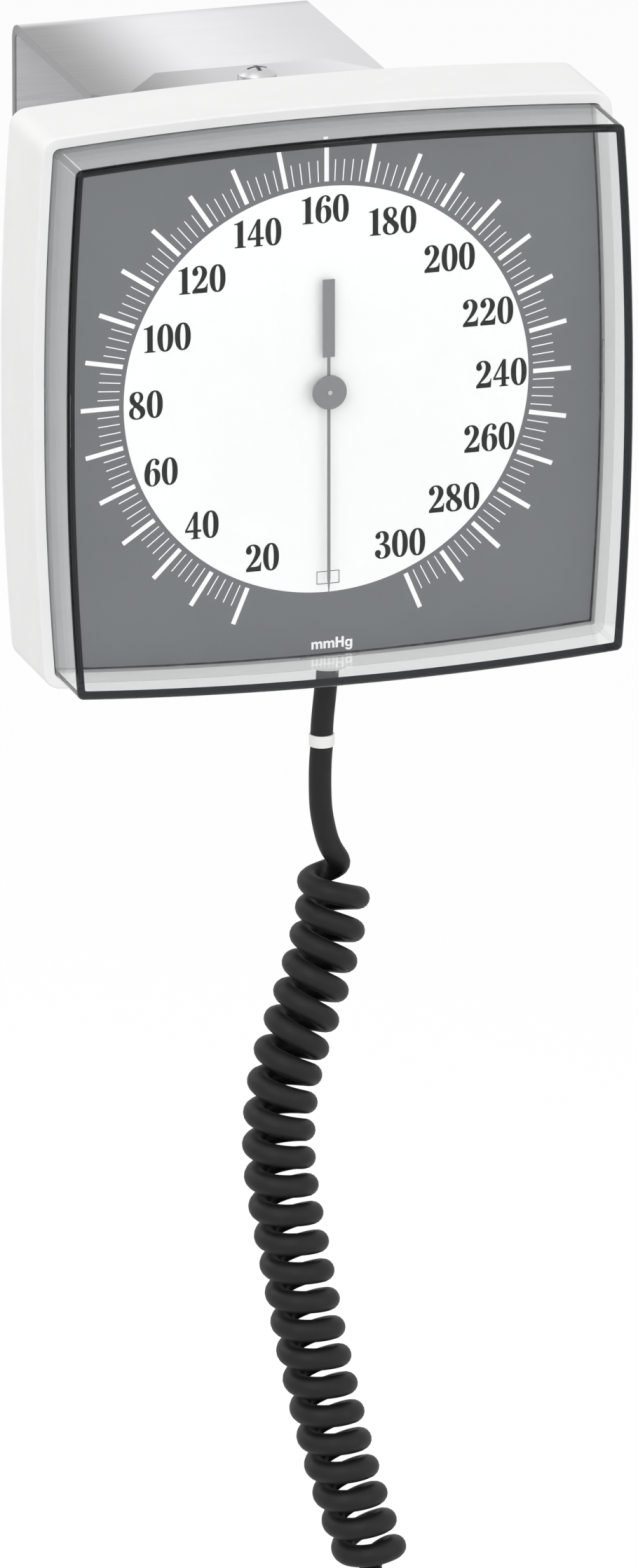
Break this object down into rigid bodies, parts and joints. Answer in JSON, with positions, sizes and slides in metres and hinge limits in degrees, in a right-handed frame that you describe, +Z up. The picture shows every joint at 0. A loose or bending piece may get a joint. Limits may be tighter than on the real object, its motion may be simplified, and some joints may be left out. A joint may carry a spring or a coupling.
{
  "type": "wall-mounted aneroid sphygmomanometer",
  "caption": "Square dial pressure gauge with a deep clear cover, on a yoke that swivels on a wall bracket, with a coiled hose.",
  "frame": {"origin": "centre of the wall screw pattern, on the back face of the wall bracket", "axes": "+Z up, +Y into the wall, +X to the right of someone reading the dial, which faces -Y"},
  "size_m": [0.178, 0.1971, 0.5312],
  "materials": {
    "bracket_steel": "satin",
    "fastener_steel": "satin",
    "case_plastic": "satin",
    "clear_plastic": "clear",
    "dial_print": "matt print",
    "brass": "satin",
    "nylon": "satin",
    "pointer_paint": "painted",
    "hose_rubber": "satin"
  },
  "bodies": {
    "wall": {"wall_bracket": "bracket_steel", "pivot_screws": "fastener_steel", "pivot_washers": "nylon", "pivot_nuts": "fastener_steel"},
    "head": {"swivel_yoke": "bracket_steel", "yoke_screws": "fastener_steel", "case_shell": "case_plastic", "clear_cover": "clear_plastic", "dial_plate": "dial_print", "front_plate": "brass", "rear_plate": "brass", "base_plate": "brass", "plate_pillars": "brass", "base_pillars": "brass", "plate_screws": "fastener_steel", "base_screws": "fastener_steel", "capsule": "brass", "hairspring": "fastener_steel", "spring_stud": "brass", "inlet_block": "brass", "inner_hose": "hose_rubber", "outlet_nipple": "nylon", "nipple_nut": "nylon", "upper_hose": "hose_rubber", "hose_coupling": "nylon", "lead_hose": "hose_rubber", "coiled_hose": "hose_rubber", "tail_hose": "hose_rubber", "end_connector": "nylon"},
    "pointer": {"pointer_blade": "pointer_paint", "pointer_hub": "pointer_paint", "pinion_arbor": "fastener_steel", "spring_collet": "brass"},
    "sector": {"sector_gear": "brass", "sector_arbor": "fastener_steel"},
    "rocker": {"rocking_shaft": "fastener_steel"},
    "pin": {"capsule_pin": "fastener_steel"}
  },
  "joints": [
    {"name": "head_swivel", "type": "hinge", "parent": "wall", "child": "head", "pos_m": [0, -0.1, 0], "axis": [0, 0, 1], "range_deg": [-60, 60]},
    {"name": "pointer_spin", "type": "hinge", "parent": "head", "child": "pointer", "pos_m": [0, -0.17, 0], "axis": [0, 1, 0], "range_deg": [0, 337.5], "stiffness_Nm_per_rad": 0.000002, "deforming": ["hairspring"]},
    {"name": "sector_swing", "type": "hinge", "parent": "head", "child": "sector", "pos_m": [-0.02295, -0.17, 0.0026], "axis": [0, -1, 0], "range_deg": [0, 33.75]},
    {"name": "shaft_rock", "type": "hinge", "parent": "head", "child": "rocker", "pos_m": [0, -0.1526, 0.0026], "axis": [-1, 0, 0], "range_deg": [0, 33.75]},
    {"name": "capsule_rise", "type": "slide", "parent": "head", "child": "pin", "axis": [0, -1, 0], "range_m": [0, 0.00158], "deforming": ["capsule"]}
  ],
  "couplings": [
    {"joint": "sector_swing", "follows": "pointer_spin", "ratio": 0.1},
    {"joint": "shaft_rock", "follows": "pointer_spin", "ratio": 0.1},
    {"joint": "capsule_rise", "follows": "pointer_spin", "m_per_rad": 0.00026779}
  ]
}
